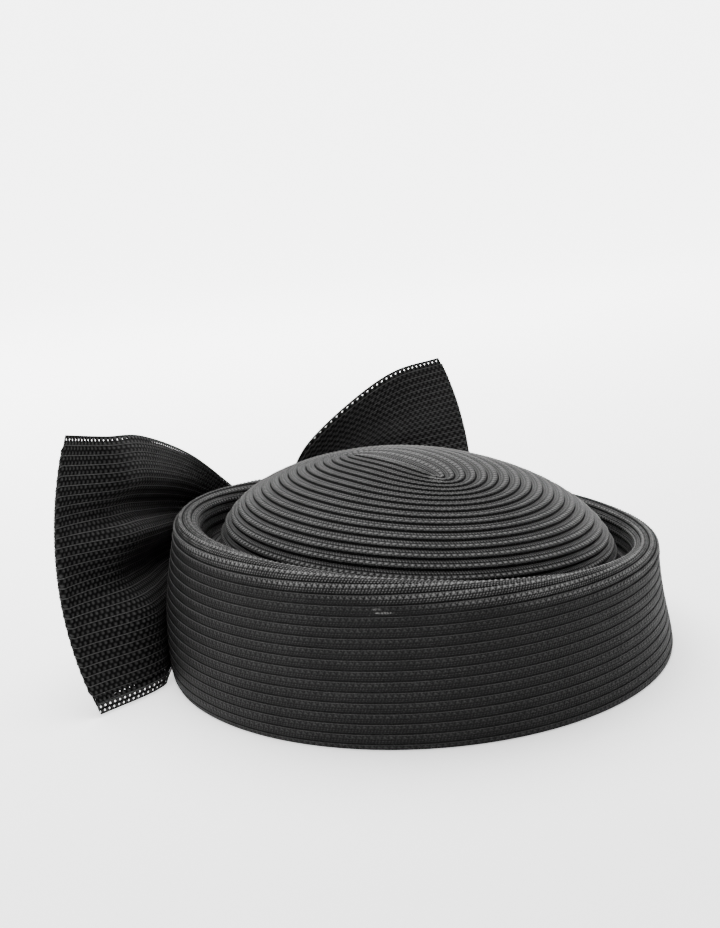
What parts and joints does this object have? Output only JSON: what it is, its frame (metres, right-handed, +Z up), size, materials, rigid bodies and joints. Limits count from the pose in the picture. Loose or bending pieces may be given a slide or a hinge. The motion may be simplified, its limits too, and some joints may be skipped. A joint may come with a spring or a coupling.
{
  "type": "pillbox fascinator hat",
  "caption": "Pillbox hat of spiral-sewn straw braid: domed crown set inside a rolled-rim cuff, with a wide folded braid bow knotted at the back.",
  "frame": {"origin": "middle of the space that hat and bow cover on the surface it rests on", "axes": "+Z up through the crown, -Y the front of the hat, +Y the back where the bow is knotted, +X the wearer's left, where the rim is lowest"},
  "size_m": [0.249, 0.2293, 0.098],
  "materials": {
    "straw_braid": "sewn synthetic straw braid, black, low sheen",
    "bow_braid": "open-edged synthetic straw braid, black, low sheen"
  },
  "bodies": {
    "root": {"cuff": "straw_braid", "crown": "straw_braid", "bow_knot": "bow_braid", "bow_loop_left": "bow_braid", "bow_loop_right": "bow_braid"}
  },
  "joints": []
}
